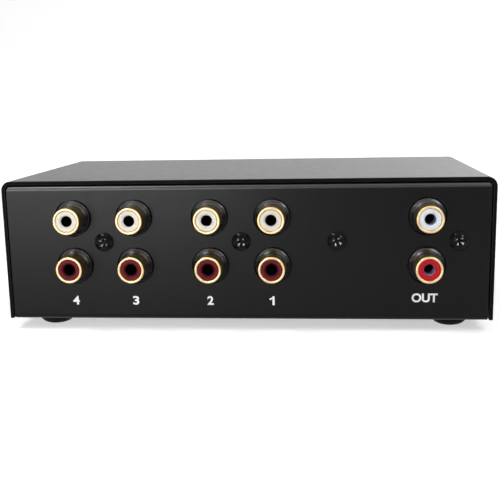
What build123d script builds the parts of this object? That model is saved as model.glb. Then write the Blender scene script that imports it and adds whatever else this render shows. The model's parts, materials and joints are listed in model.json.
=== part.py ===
"""Passive stereo source selector: a folded steel box with four inputs and one output on phono sockets.

The socket panel faces -Y and the selector knob faces +Y. X runs along the width and Z is up.
The origin lies on the table, below the middle of the overall box.
"""
import os

from build123d import *

os.makedirs("parts", exist_ok=True)

# Case
case_width = 153.2
case_height = 44.6
case_depth = 80.0
sheet = 1.2
side_gap = 0.4
# Bend radii, along the middle of the sheet
tray_bend = 1.2
cover_bend = 2.4
cover_lift = 0.2
top_lip = 9.0
side_flange_height = 17.0
corner_relief = 2.0
flange_setback = 6.0
overrun = 1.0

# Rubber feet
foot_radius = 6.0
foot_flat_radius = 3.0
foot_height = 3.8
foot_rim = 0.8
foot_bulge_share = 0.8
foot_bulge_height_share = 0.3
foot_side_margin = 11.6
foot_end_margin = 12.5

# Screws, all of one thread
thread_radius = 1.5
thread_clearance = 0.1
head_radius = 2.8
head_height = 1.8
head_rim = 0.5
rear_screw_length = 8.0
cover_screw_length = 6.0
board_screw_length = 6.0
cover_screw_rise = 12.0
cover_screw_margin = 18.0
press_nut_radius = 3.0
press_nut_height = 2.0

# Places of the sockets on the back panel
column_pitch = 19.5
row_pitch = 15.2
row_drop = 0.2
first_block_margin = 32.4
output_margin = 20.5
# Free room between the outer blocks: the shares left of the middle block and left of the bracket
block_gap_share = 0.302
bracket_gap_share = 0.2376

# Phono socket, with the standard barrel and centre hole
jack_reach = 7.4
shell_radius = 4.15
shell_neck_radius = 3.85
shell_inner_radius = 3.3
shell_lip = 0.35
shell_rivet_radius = 4.7
shell_rivet = 0.5
insulator_recess = 0.3
insulator_mouth = 0.3
pin_hole_radius = 1.65
pin_hole_depth = 5.5
contact_wall = 0.35
contact_slit = 0.5
contact_slit_length = 5.0
contact_stem_radius = 0.8
contact_cap = 0.5
tail_width = 1.8
tail_thickness = 0.6
lower_tail_depth = 2.0
upper_tail_depth = 4.6
tail_below_board = 1.4
turned_clearance = 0.05

# Moulded socket block
boss_radius = 5.45
boss_gap = 0.45
boss_proud = 0.4
collar_radius = 4.85
collar_step = 0.9
block_depth = 9.0
block_margin = 6.9
block_screw_margin = 5.0
block_headroom = 0.5
block_corner = 1.0
ground_plate = 0.5
ground_plate_inset = 0.4
ground_tail_width = 2.4

# Circuit board on spacers
board_thickness = 1.6
board_side_margin = 3.6
board_rear_gap = 1.4
board_corner = 2.0
hole_clearance = 0.3
spacer_radius = 3.0
spacer_height = 6.3
spacer_spigot_radius = 2.1
spacer_side_margin = 14.0
spacer_rear_margin = 24.0
spacer_front_margin = 22.0

# Bracket behind the lone screw
bracket_width = 10.0
bracket_above = 6.0
bracket_foot = 11.0
bracket_bend = 1.0
bracket_screw_depth = 6.6
nut_flats = 5.5
nut_height = 2.2

# Rotary switch, at a share of the height between the board and the lip of the front panel
selector_share = 0.405
step_angle = 30.0
step_count = 3
common_angle = 90.0
switch_radius = 12.5
plate_thickness = 1.8
locating_pin_radius = 1.2
locating_pin_offset = 10.2
cup_depth = 11.0
cup_wall = 1.6
bushing_radius = 4.5
bushing_length = 4.6
bushing_clearance = 0.2
shaft_radius = 3.0
shaft_clearance = 0.05
shaft_flat = 1.2
pivot_radius = 1.5
pivot_length = 0.9
rotor_radius = 9.5
rotor_thickness = 6.0
rotor_front_gap = 0.8
notch_radius = 1.3
notch_centre = 10.1
notch_count = 12
wiper_width = 2.4
wiper_thickness = 0.4
wiper_tip_radius = 0.7
wiper_gap = 0.1
station_radius = 8.0
common_share = 0.38
station_pad_radius = 1.1
common_pad_width = 1.4
common_pad_spread = 12.0
pad_thickness = 0.3
switch_pin_radius = 0.45
switch_pin_proud = 1.0
spring_thickness = 0.3
spring_width = 3.0
spring_wall_gap = 0.2
spring_nose_radius = 9.35
spring_angles = (36.0, 22.0, 9.0)

# Hardware on the bushing
washer_radius = 6.6
washer_thickness = 0.6
washer_tooth_depth = 0.8
washer_tooth_count = 10
washer_tooth_width = 0.8
bushing_nut_flats = 12.0
bushing_nut_thickness = 2.2
ring_radius = 4.4
ring_thickness = 0.6
ring_groove = 0.4
ring_opening = 4.0

# Switch board and pin header
switch_board_width = 32.0
switch_board_above = 14.0
board_seat_gap = 0.3
header_pitch = 2.54
header_pin_count = 11
header_pin = 0.64
header_pin_clearance = 0.05
header_pin_bend = 0.5
header_pin_below = 0.6

# Knob
knob_gap = 0.8
knob_height = 15.0
knob_skirt_radius = 12.0
knob_skirt_height = 2.6
knob_grip_radius = 10.4
knob_top_radius = 9.5
knob_top_round = 0.7
knob_skirt_round = 0.6
knob_recess_radius = 8.6
knob_recess_depth = 5.4
knob_bore_depth = 8.0
flute_count = 18
flute_radius = 1.3
flute_bite = 0.55
pointer_width = 1.5
pointer_depth = 0.6
pointer_start = 3.0
pointer_clearance = 0.05
set_screw_radius = 1.5
set_screw_length = 5.0
set_screw_depth = 9.6
set_screw_socket_flats = 1.5
set_screw_socket_depth = 1.6

# Where things lie along Y
knob_reach = knob_gap + knob_height
rear_face = jack_reach - (jack_reach + case_depth + knob_reach) / 2
front_face = rear_face + case_depth
case_middle = rear_face + case_depth / 2
rear_inside = rear_face + sheet
front_inside = front_face - sheet
block_back = rear_inside + block_depth
plate_back = block_back + ground_plate
shell_back = plate_back + shell_rivet
switch_back = front_inside - plate_thickness - cup_depth
switch_board_back = switch_back - board_thickness
header_back = switch_board_back - header_pitch

# Where things lie along Z
base_bottom = foot_height
base_top = base_bottom + sheet
case_top = base_bottom + case_height
tray_top = case_top - sheet
tray_height = tray_top - base_bottom
lip_underside = tray_top - sheet
board_bottom = base_top + spacer_height
board_top = board_bottom + board_thickness
block_top = lip_underside - block_headroom
block_height = block_top - board_top
row_middle = board_top + block_height / 2 - row_drop
upper_row = row_middle + row_pitch / 2
lower_row = row_middle - row_pitch / 2
tail_end = board_bottom - tail_below_board
selector_height = board_top + selector_share * (lip_underside - board_top)

# Where things lie along X
half_width = case_width / 2
panel_width = case_width - 2 * (sheet + side_gap)
half_panel = panel_width / 2
left_block_x = first_block_margin - half_width
output_x = half_width - output_margin
output_screw_x = output_x + column_pitch / 2
input_block_width = column_pitch + 2 * block_margin
left_block_end = left_block_x + input_block_width / 2
free_room = output_x - block_margin - left_block_end - input_block_width - bracket_width
right_block_x = left_block_end + block_gap_share * free_room + input_block_width / 2
right_block_end = right_block_x + input_block_width / 2
lone_screw_x = right_block_end + bracket_gap_share * free_room + bracket_width / 2

# Socket columns, block by block, with the screw that holds the block
blocks = {
    "left_input": ([left_block_x - column_pitch / 2, left_block_x + column_pitch / 2], left_block_x),
    "right_input": ([right_block_x - column_pitch / 2, right_block_x + column_pitch / 2], right_block_x),
    "output": ([output_x], output_screw_x),
}
socket_columns = {
    "input_4": left_block_x - column_pitch / 2,
    "input_3": left_block_x + column_pitch / 2,
    "input_2": right_block_x - column_pitch / 2,
    "input_1": right_block_x + column_pitch / 2,
    "output": output_x,
}
socket_rows = {"white": upper_row, "red": lower_row}
socket_places = [(x, z) for x in socket_columns.values() for z in socket_rows.values()]
rear_screw_places = [(x, row_middle) for x in (left_block_x, right_block_x, lone_screw_x, output_screw_x)]
cover_screw_places = [
    (y, base_bottom + cover_screw_rise)
    for y in (rear_face + cover_screw_margin, front_face - cover_screw_margin)
]
spacer_x = half_width - spacer_side_margin
spacer_places = [
    (x, y)
    for x in (-spacer_x, spacer_x)
    for y in (rear_face + spacer_rear_margin, front_face - spacer_front_margin)
]
pointer_angle = 90 + step_angle * step_count / 2
station_angles = [pointer_angle - step_angle * step for step in range(step_count + 1)]
pole_turns = (0, 180)
common_radius = shaft_radius + common_share * (station_radius - shaft_radius)
header_xs = [header_pitch * (pin - (header_pin_count - 1) / 2) for pin in range(header_pin_count)]

# Planes: the back panel as it is seen, and a cut across the middle of the case
rear_plane = Plane(origin=(0, rear_face, 0), x_dir=(1, 0, 0), z_dir=(0, -1, 0))
middle_plane = Plane.XZ.offset(-case_middle)
selector_axis = Axis((0, front_face, selector_height), (0, 1, 0))


def save(piece, name):
    """Name a finished piece and write it out."""
    piece.part.label = name
    export_step(piece.part, f"parts/{name}.step")


def across(y, turn=0):
    """A plane square to the selector's axis at a place along Y, seen from in front, with its X turned up."""
    x_dir = Vector(-1, 0, 0).rotate(Axis.Y, turn)
    return Plane(origin=(0, y, selector_height), x_dir=x_dir, z_dir=(0, 1, 0))


def turning_plane(x, z):
    """A plane through a socket's axis: the radius is along its X, the depth behind the panel along its Y."""
    return Plane(origin=(x, rear_face, z), x_dir=(1, 0, 0), z_dir=(0, 0, 1))


def socket_axis(x, z):
    return Axis((x, rear_face, z), (0, 1, 0))


def pan_profile(seat, length):
    """Half the outline of a pan head screw: a domed head on the seat, and its thread behind that."""
    with BuildSketch(Plane(origin=seat.origin, x_dir=seat.x_dir, z_dir=-seat.y_dir)) as outline:
        with BuildLine():
            Line((0, -length), (thread_radius, -length))
            Line((thread_radius, -length), (thread_radius, 0))
            Line((thread_radius, 0), (head_radius, 0))
            Line((head_radius, 0), (head_radius, head_rim))
            TangentArc((0, head_height), (head_radius, head_rim), tangent=(1, 0))
            Line((0, head_height), (0, -length))
        make_face()
    return outline.sketch


# Steel tray: base, back panel and front panel folded from one strip, with lips along the top and side flanges
half_sheet = sheet / 2
tray_path = [
    (rear_face + top_lip, tray_top - half_sheet),
    (rear_face + half_sheet, tray_top - half_sheet),
    (rear_face + half_sheet, base_bottom + half_sheet),
    (front_face - half_sheet, base_bottom + half_sheet),
    (front_face - half_sheet, tray_top - half_sheet),
    (front_face - top_lip, tray_top - half_sheet),
]
flange_path = [
    (half_panel - flange_setback, base_bottom + half_sheet),
    (half_panel - half_sheet, base_bottom + half_sheet),
    (half_panel - half_sheet, base_bottom + side_flange_height),
]
flange_length = case_depth - 2 * (sheet + tray_bend + corner_relief + corner_relief)
with BuildPart() as chassis_tray:
    with BuildSketch(Plane.YZ):
        with BuildLine():
            FilletPolyline(*tray_path, radius=tray_bend)
        trace(line_width=sheet)
    extrude(amount=half_panel, both=True)
    # The upper corners are rounded to clear the bends of the cover
    with BuildSketch(middle_plane):
        with Locations((0, base_bottom)):
            RectangleRounded(panel_width, 2 * tray_height, cover_bend)
    extrude(amount=case_depth / 2, both=True, mode=Mode.INTERSECT)
    # The base is cut back for the side flanges, with a relief at each corner
    with BuildSketch(Plane.XY.offset(base_bottom - overrun)):
        with Locations((half_panel, case_middle), (-half_panel, case_middle)):
            Rectangle(2 * flange_setback, flange_length + 2 * corner_relief)
    extrude(amount=sheet + 2 * overrun, mode=Mode.SUBTRACT)
    with BuildSketch(middle_plane):
        with BuildLine():
            FilletPolyline(*flange_path, radius=tray_bend)
        trace(line_width=sheet)
        mirror(about=Plane.YZ)
    extrude(amount=flange_length / 2, both=True)
    # Back panel: socket holes and screw holes
    with BuildSketch(rear_plane.offset(overrun)):
        with Locations(*socket_places):
            Circle(boss_radius + boss_gap)
        with Locations(*rear_screw_places):
            Circle(thread_radius + thread_clearance)
    extrude(amount=-sheet - 2 * overrun, mode=Mode.SUBTRACT)
    # Front panel: the bushing's hole and a small one that keeps the switch from turning
    with BuildSketch(across(front_face + overrun)):
        Circle(bushing_radius + bushing_clearance)
        with Locations((0, -locating_pin_offset)):
            Circle(locating_pin_radius + bushing_clearance)
    extrude(amount=-sheet - 2 * overrun, mode=Mode.SUBTRACT)
    # Base: holes that the spacers are pressed into
    with BuildSketch(Plane.XY.offset(base_bottom - overrun)):
        with Locations(*spacer_places):
            Circle(spacer_spigot_radius + thread_clearance)
    extrude(amount=sheet + 2 * overrun, mode=Mode.SUBTRACT)
    # Side flanges: holes for the cover's screws
    with BuildSketch(Plane.YZ):
        with Locations(*cover_screw_places):
            Circle(thread_radius + thread_clearance)
    extrude(amount=half_panel + overrun, both=True, mode=Mode.SUBTRACT)
save(chassis_tray, "chassis_tray")

# Cover: top and two sides folded from one sheet
cover_bottom = base_bottom + cover_lift
cover_path = [
    (-half_width + half_sheet, cover_bottom),
    (-half_width + half_sheet, case_top - half_sheet),
    (half_width - half_sheet, case_top - half_sheet),
    (half_width - half_sheet, cover_bottom),
]
with BuildPart() as top_cover:
    with BuildSketch(middle_plane):
        with BuildLine():
            FilletPolyline(*cover_path, radius=cover_bend)
        trace(line_width=sheet)
    extrude(amount=case_depth / 2, both=True)
    with BuildSketch(Plane.YZ):
        with Locations(*cover_screw_places):
            Circle(thread_radius + thread_clearance)
    extrude(amount=half_width + overrun, both=True, mode=Mode.SUBTRACT)
save(top_cover, "top_cover")

# Cover screws, two on each side, and the nuts pressed into the flanges behind them
with BuildPart() as cover_screws:
    for side in (-1, 1):
        for y, z in cover_screw_places:
            seat = Plane(origin=(side * half_width, y, z), x_dir=(0, side, 0), z_dir=(side, 0, 0))
            revolve(pan_profile(seat, cover_screw_length), axis=Axis(seat.origin, seat.z_dir))
save(cover_screws, "cover_screws")

with BuildPart() as press_nuts:
    for side in (-1, 1):
        flange_inside = Plane(
            origin=(side * (half_panel - sheet), 0, 0), x_dir=(0, -side, 0), z_dir=(-side, 0, 0)
        )
        with BuildSketch(flange_inside):
            with Locations(*[(-side * y, z) for y, z in cover_screw_places]):
                Circle(press_nut_radius)
                Circle(thread_radius + thread_clearance, mode=Mode.SUBTRACT)
        extrude(amount=press_nut_height)
save(press_nuts, "press_nuts")

# Screws on the back panel
with BuildPart() as rear_screws:
    for x, z in rear_screw_places:
        seat = Plane(origin=(x, rear_face, z), x_dir=(1, 0, 0), z_dir=(0, -1, 0))
        revolve(pan_profile(seat, rear_screw_length), axis=Axis(seat.origin, seat.z_dir))
save(rear_screws, "rear_screws")

# Rubber feet: domes with a flat bottom
foot_x = half_width - foot_side_margin
feet = {
    "foot_rear_left": (-foot_x, rear_face + foot_end_margin),
    "foot_rear_right": (foot_x, rear_face + foot_end_margin),
    "foot_front_left": (-foot_x, front_face - foot_end_margin),
    "foot_front_right": (foot_x, front_face - foot_end_margin),
}
for name, (x, y) in feet.items():
    with BuildPart() as foot:
        with BuildSketch(Plane(origin=(x, y, 0), x_dir=(1, 0, 0), z_dir=(0, -1, 0))):
            with BuildLine():
                Line((0, 0), (foot_flat_radius, 0))
                ThreePointArc(
                    (foot_flat_radius, 0),
                    (foot_radius * foot_bulge_share, foot_height * foot_bulge_height_share),
                    (foot_radius, foot_height - foot_rim),
                )
                Line((foot_radius, foot_height - foot_rim), (foot_radius, foot_height))
                Line((foot_radius, foot_height), (0, foot_height))
                Line((0, foot_height), (0, 0))
            make_face()
        revolve(axis=Axis((x, y, 0), (0, 0, 1)))
    save(foot, name)

# Gold shells: a turned barrel with a rounded lip, a neck through the block and a riveted rear edge
neck_start = -boss_proud - collar_step
shell_profile = [
    (shell_inner_radius, -jack_reach),
    (shell_radius, -jack_reach),
    (shell_radius, neck_start),
    (shell_neck_radius, neck_start),
    (shell_neck_radius, plate_back - rear_face),
    (shell_rivet_radius, plate_back - rear_face),
    (shell_rivet_radius, shell_back - rear_face),
    (shell_inner_radius, shell_back - rear_face),
]
insulator_face = -jack_reach + insulator_recess
pin_hole_end = insulator_face + pin_hole_depth
insulator_radius = shell_inner_radius - turned_clearance
contact_radius = pin_hole_radius + contact_wall
contact_bore = contact_radius + turned_clearance
insulator_profile = [
    (pin_hole_radius + insulator_mouth, insulator_face),
    (insulator_radius, insulator_face),
    (insulator_radius, shell_back - rear_face),
    (contact_bore, shell_back - rear_face),
    (contact_bore, pin_hole_end),
    (pin_hole_radius, pin_hole_end),
    (pin_hole_radius, insulator_face + insulator_mouth),
]
for column, x in socket_columns.items():
    for colour, z in socket_rows.items():
        with BuildPart() as shell:
            with BuildSketch(turning_plane(x, z)) as outline:
                with BuildLine():
                    Polyline(*shell_profile, close=True)
                make_face()
                fillet(outline.vertices().group_by(Axis.Y)[0], radius=shell_lip)
            revolve(axis=socket_axis(x, z))
        save(shell, f"{column}_{colour}_shell")

        with BuildPart() as insulator:
            with BuildSketch(turning_plane(x, z)):
                with BuildLine():
                    Polyline(*insulator_profile, close=True)
                make_face()
            revolve(axis=socket_axis(x, z))
        save(insulator, f"{column}_{colour}_insulator")

# Moulded blocks behind the back panel, with bosses that fill its holes, then ground plates and contacts
contact_start = pin_hole_end + turned_clearance
contact_end = shell_back - rear_face
tail_depths = {"white": contact_end + upper_tail_depth, "red": contact_end + lower_tail_depth}
for block_name, (columns, screw_x) in blocks.items():
    places = [(x, z) for x in columns for z in socket_rows.values()]
    block_left = min(columns) - block_margin
    block_right = max(max(columns) + block_margin, screw_x + block_screw_margin)
    block_middle = (block_left + block_right) / 2
    block_width = block_right - block_left
    with BuildPart() as block:
        with BuildSketch(rear_plane.offset(-sheet)):
            with Locations((block_middle, board_top + block_height / 2)):
                RectangleRounded(block_width, block_height, block_corner)
        extrude(amount=-block_depth)
        with BuildSketch(rear_plane.offset(-sheet)):
            with Locations(*places):
                Circle(boss_radius)
        extrude(amount=sheet + boss_proud)
        with BuildSketch(rear_plane.offset(boss_proud)):
            with Locations(*places):
                Circle(collar_radius)
        extrude(amount=collar_step)
        with BuildSketch(rear_plane.offset(overrun - neck_start)):
            with Locations(*places):
                Circle(shell_neck_radius + turned_clearance)
            with Locations((screw_x, row_middle)):
                Circle(thread_radius + thread_clearance)
        extrude(amount=-(block_depth + sheet - neck_start + 2 * overrun), mode=Mode.SUBTRACT)
    save(block, f"{block_name}_block")

    plate_width = block_width - 2 * ground_plate_inset
    plate_height = block_height - 2 * ground_plate_inset
    with BuildPart() as plate:
        with BuildSketch(rear_plane.offset(rear_face - block_back)):
            with Locations((block_middle, board_top + block_height / 2)):
                RectangleRounded(plate_width, plate_height, block_corner)
            with Locations((screw_x, (board_top + tail_end) / 2)):
                Rectangle(ground_tail_width, board_top - tail_end + 2 * block_corner)
            with Locations(*places):
                Circle(shell_neck_radius + turned_clearance, mode=Mode.SUBTRACT)
            with Locations((screw_x, row_middle)):
                Circle(thread_radius + thread_clearance, mode=Mode.SUBTRACT)
        extrude(amount=-ground_plate)
    save(plate, f"{block_name}_ground_plate")

    with BuildPart() as contacts:
        for x in columns:
            for colour, z in socket_rows.items():
                tail = tail_depths[colour]
                sleeve_profile = [
                    (pin_hole_radius, contact_start),
                    (contact_radius, contact_start),
                    (contact_radius, contact_end),
                    (contact_stem_radius, contact_end),
                    (contact_stem_radius, tail),
                    (0, tail),
                    (0, contact_end - contact_cap),
                    (pin_hole_radius, contact_end - contact_cap),
                ]
                with BuildSketch(turning_plane(x, z)):
                    with BuildLine():
                        Polyline(*sleeve_profile, close=True)
                    make_face()
                revolve(axis=socket_axis(x, z))
                with BuildSketch(rear_plane.offset(-contact_start)):
                    with Locations((x, z)):
                        Rectangle(contact_slit, 2 * contact_radius + overrun)
                extrude(amount=-contact_slit_length, mode=Mode.SUBTRACT)
                with BuildSketch(rear_plane.offset(-tail)):
                    with Locations((x, z + tail_width / 2)):
                        Rectangle(tail_width, z + tail_width / 2 - tail_end, align=(Align.CENTER, Align.MAX))
                extrude(amount=-tail_thickness)
    save(contacts, f"{block_name}_contacts")

# Main circuit board, on spacers that are pressed into the base
board_rear = rear_inside + board_rear_gap
board_width = panel_width - 2 * (sheet + board_side_margin)
board_depth = switch_back - board_rear
bracket_screw_y = rear_inside + bracket_screw_depth
tail_slot_width = tail_width + hole_clearance
ground_slot_width = ground_tail_width + hole_clearance
with BuildPart() as main_board:
    with BuildSketch(Plane.XY.offset(board_bottom)):
        with Locations((0, board_rear + board_depth / 2)):
            RectangleRounded(board_width, board_depth, board_corner)
        with Locations(*spacer_places):
            Circle(thread_radius + thread_clearance, mode=Mode.SUBTRACT)
        for x in socket_columns.values():
            for tail in tail_depths.values():
                with Locations((x, rear_face + tail + tail_thickness / 2)):
                    Rectangle(tail_slot_width, tail_thickness + hole_clearance, mode=Mode.SUBTRACT)
        for _, screw_x in blocks.values():
            with Locations((screw_x, block_back + ground_plate / 2)):
                Rectangle(ground_slot_width, ground_plate + hole_clearance, mode=Mode.SUBTRACT)
        with Locations((lone_screw_x, bracket_screw_y)):
            Circle(thread_radius + thread_clearance, mode=Mode.SUBTRACT)
        with Locations(*[(x, header_back - header_pitch / 2) for x in header_xs]):
            Rectangle(header_pin + hole_clearance, header_pin + hole_clearance, mode=Mode.SUBTRACT)
    extrude(amount=board_thickness)
save(main_board, "main_board")

with BuildPart() as spacers:
    with BuildSketch(Plane.XY.offset(base_top)):
        with Locations(*spacer_places):
            Circle(spacer_radius)
    extrude(amount=spacer_height)
    with BuildSketch(Plane.XY.offset(base_bottom)):
        with Locations(*spacer_places):
            Circle(spacer_spigot_radius)
    extrude(amount=sheet)
    with BuildSketch(Plane.XY.offset(board_bottom)):
        with Locations(*spacer_places):
            Circle(thread_radius + thread_clearance)
    extrude(amount=-(board_screw_length - board_thickness + thread_clearance), mode=Mode.SUBTRACT)
save(spacers, "spacers")

with BuildPart() as board_screws:
    for x, y in spacer_places:
        seat = Plane(origin=(x, y, board_top), x_dir=(1, 0, 0), z_dir=(0, 0, 1))
        revolve(pan_profile(seat, board_screw_length), axis=Axis(seat.origin, seat.z_dir))
save(board_screws, "board_screws")

# Angle bracket that ties the board to the back panel, with its own screw and nut
bracket_path = [
    (rear_inside + half_sheet, row_middle + bracket_above),
    (rear_inside + half_sheet, board_top + half_sheet),
    (rear_inside + bracket_foot, board_top + half_sheet),
]
with BuildPart() as board_bracket:
    with BuildSketch(Plane.YZ.offset(lone_screw_x)):
        with BuildLine():
            FilletPolyline(*bracket_path, radius=bracket_bend)
        trace(line_width=sheet)
    extrude(amount=bracket_width / 2, both=True)
    with BuildSketch(rear_plane.offset(-sheet + overrun)):
        with Locations((lone_screw_x, row_middle)):
            Circle(thread_radius + thread_clearance)
    extrude(amount=-sheet - 2 * overrun, mode=Mode.SUBTRACT)
    with BuildSketch(Plane.XY.offset(board_top - overrun)):
        with Locations((lone_screw_x, bracket_screw_y)):
            Circle(thread_radius + thread_clearance)
    extrude(amount=sheet + 2 * overrun, mode=Mode.SUBTRACT)
save(board_bracket, "board_bracket")

with BuildPart() as bracket_fastener:
    seat = Plane(origin=(lone_screw_x, bracket_screw_y, board_top + sheet), x_dir=(1, 0, 0), z_dir=(0, 0, 1))
    revolve(
        pan_profile(seat, sheet + board_thickness + nut_height),
        axis=Axis(seat.origin, seat.z_dir),
    )
    with BuildSketch(Plane.XY.offset(board_bottom)):
        with Locations((lone_screw_x, bracket_screw_y)):
            RegularPolygon(nut_flats / 2, side_count=6, major_radius=False)
            Circle(thread_radius + thread_clearance, mode=Mode.SUBTRACT)
    extrude(amount=-nut_height)
save(bracket_fastener, "bracket_fastener")

# Rotary switch: bushing and front plate in one casting
plate_rear = front_inside - plate_thickness
bushing_end = front_face + bushing_length
with BuildPart() as switch_plate:
    with BuildSketch(across(front_inside)):
        Circle(switch_radius)
    extrude(amount=-plate_thickness)
    with BuildSketch(across(front_inside)):
        Circle(bushing_radius)
    extrude(amount=bushing_end - front_inside)
    with BuildSketch(across(front_inside)):
        with Locations((0, -locating_pin_offset)):
            Circle(locating_pin_radius)
    extrude(amount=sheet)
    with BuildSketch(across(bushing_end + overrun)):
        Circle(shaft_radius + shaft_clearance)
    extrude(amount=-(bushing_end - plate_rear + 2 * overrun), mode=Mode.SUBTRACT)
save(switch_plate, "switch_plate")

# Cup that holds the fixed contacts, with a pivot hole for the end of the shaft
cup_inner = switch_radius - cup_wall
cup_floor = switch_back + cup_wall
contact_angles = [angle + turn for turn in pole_turns for angle in station_angles]
common_angles = [common_angle + turn for turn in pole_turns]
with BuildPart() as switch_cup:
    with BuildSketch(across(plate_rear)):
        Circle(switch_radius)
    extrude(amount=-cup_depth)
    with BuildSketch(across(plate_rear + overrun)):
        Circle(cup_inner)
    extrude(amount=-(cup_depth - cup_wall + overrun), mode=Mode.SUBTRACT)
    with BuildSketch(across(cup_floor + overrun)):
        Circle(pivot_radius + shaft_clearance)
    extrude(amount=-(pivot_length + shaft_clearance + overrun), mode=Mode.SUBTRACT)
    with BuildSketch(across(cup_floor + overrun)):
        for angle in contact_angles:
            with PolarLocations(station_radius, 1, start_angle=angle):
                Circle(switch_pin_radius + shaft_clearance)
        for angle in common_angles:
            with PolarLocations(common_radius, 1, start_angle=angle):
                Circle(switch_pin_radius + shaft_clearance)
    extrude(amount=-(cup_wall + 2 * overrun), mode=Mode.SUBTRACT)
save(switch_cup, "switch_cup")

# Fixed contacts: a round pad for each position and an arc for each pole's common, with pins out of the back
pin_length = cup_wall + board_thickness + switch_pin_proud
common_span = step_angle * step_count + 2 * common_pad_spread
with BuildPart() as switch_contacts:
    with BuildSketch(across(cup_floor)):
        for angle in contact_angles:
            with PolarLocations(station_radius, 1, start_angle=angle):
                Circle(station_pad_radius)
        for angle in common_angles:
            with BuildLine():
                CenterArc((0, 0), common_radius, angle - common_span / 2, common_span)
            trace(line_width=common_pad_width)
    extrude(amount=pad_thickness)
    with BuildSketch(across(cup_floor)):
        for angle in contact_angles:
            with PolarLocations(station_radius, 1, start_angle=angle):
                Circle(switch_pin_radius)
        for angle in common_angles:
            with PolarLocations(common_radius, 1, start_angle=angle):
                Circle(switch_pin_radius)
    extrude(amount=-pin_length)
save(switch_contacts, "switch_contacts")

# Shaft, with a flat for the knob, a flat for the rotor, a ring groove and a pivot
shaft_end = front_face + knob_gap + knob_recess_depth + knob_bore_depth
rotor_front = plate_rear - rotor_front_gap
rotor_back = rotor_front - rotor_thickness
ring_back = bushing_end + shaft_clearance
flat_offset = shaft_radius - shaft_flat
knob_floor = front_face + knob_gap + knob_recess_depth
with BuildPart() as switch_shaft:
    with BuildSketch(across(cup_floor + shaft_clearance)):
        Circle(shaft_radius)
    extrude(amount=shaft_end - cup_floor - shaft_clearance)
    with BuildSketch(across(cup_floor + shaft_clearance)):
        Circle(pivot_radius)
    extrude(amount=-pivot_length)
    with BuildSketch(across(ring_back)):
        Circle(shaft_radius + overrun)
        Circle(shaft_radius - ring_groove, mode=Mode.SUBTRACT)
    extrude(amount=ring_thickness, mode=Mode.SUBTRACT)
    # Flats face away from the pointer
    with BuildSketch(across(knob_floor, pointer_angle + 180)):
        with Locations((flat_offset, 0)):
            Rectangle(shaft_flat + overrun, 2 * (shaft_radius + overrun), align=(Align.MIN, Align.CENTER))
    extrude(amount=shaft_end - knob_floor + overrun, mode=Mode.SUBTRACT)
    with BuildSketch(across(rotor_front, pointer_angle + 180)):
        with Locations((flat_offset, 0)):
            Rectangle(shaft_flat + overrun, 2 * (shaft_radius + overrun), align=(Align.MIN, Align.CENTER))
    extrude(amount=-(rotor_front - cup_floor), mode=Mode.SUBTRACT)
save(switch_shaft, "switch_shaft")

# Rotor: a disc with detent notches round its rim
bore_radius = shaft_radius + turned_clearance
bore_flat = flat_offset + turned_clearance
with BuildPart() as switch_rotor:
    with BuildSketch(across(rotor_front, pointer_angle + 180)):
        Circle(rotor_radius)
        with PolarLocations(notch_centre, notch_count, start_angle=90 - pointer_angle - 180):
            Circle(notch_radius, mode=Mode.SUBTRACT)
        Circle(bore_radius, mode=Mode.SUBTRACT)
        with Locations((bore_flat, 0)):
            Rectangle(bore_radius, 2 * bore_radius, align=(Align.MIN, Align.CENTER))
    extrude(amount=-rotor_thickness)
save(switch_rotor, "switch_rotor")

# Wipers: one spring strip for each pole, with a tip over its common and a tip over a position
wiper_start = common_radius - wiper_width / 2
wiper_end = station_radius + wiper_width / 2
wiper_reach = rotor_back - wiper_thickness - (cup_floor + pad_thickness + wiper_gap)
with BuildPart() as switch_wipers:
    for turn in pole_turns:
        wiper_plane = across(rotor_back, pointer_angle + turn)
        with BuildSketch(wiper_plane):
            with Locations(((wiper_start + wiper_end) / 2, 0)):
                SlotOverall(wiper_end - wiper_start, wiper_width)
        extrude(amount=-wiper_thickness)
        with BuildSketch(wiper_plane.offset(-wiper_thickness)):
            with Locations((common_radius, 0), (station_radius, 0)):
                Circle(wiper_tip_radius)
        extrude(amount=-wiper_reach)
save(switch_wipers, "switch_wipers")

# Detent spring: a leaf along the cup's wall with a nose in the rotor's top notch
leaf_radius = cup_inner - spring_wall_gap - spring_thickness / 2
rising_points = [Vector(leaf_radius, 0).rotate(Axis.Z, 90 + angle) for angle in spring_angles]
falling_points = [Vector(leaf_radius, 0).rotate(Axis.Z, 90 - angle) for angle in reversed(spring_angles)]
rotor_middle = (rotor_front + rotor_back) / 2
with BuildPart() as detent_spring:
    with BuildSketch(across(rotor_middle)):
        with BuildLine():
            FilletPolyline(
                *rising_points, (0, spring_nose_radius), *falling_points, radius=spring_thickness
            )
        trace(line_width=spring_thickness)
    extrude(amount=spring_width / 2, both=True)
save(detent_spring, "detent_spring")

# Lock washer with inner teeth, and the nut that clamps the switch to the front panel
washer_hole = bushing_radius + bushing_clearance
washer_ring_hole = washer_hole + washer_tooth_depth
with BuildPart() as lock_washer:
    with BuildSketch(across(front_face)):
        Circle(washer_radius)
        Circle(washer_ring_hole, mode=Mode.SUBTRACT)
        with PolarLocations(washer_ring_hole - washer_tooth_depth / 2, washer_tooth_count):
            Rectangle(2 * washer_tooth_depth, washer_tooth_width)
        Circle(washer_hole, mode=Mode.SUBTRACT)
    extrude(amount=washer_thickness)
save(lock_washer, "lock_washer")

with BuildPart() as bushing_nut:
    with BuildSketch(across(front_face + washer_thickness)):
        RegularPolygon(bushing_nut_flats / 2, side_count=6, major_radius=False)
        Circle(bushing_radius + turned_clearance, mode=Mode.SUBTRACT)
    extrude(amount=bushing_nut_thickness)
save(bushing_nut, "bushing_nut")

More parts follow.
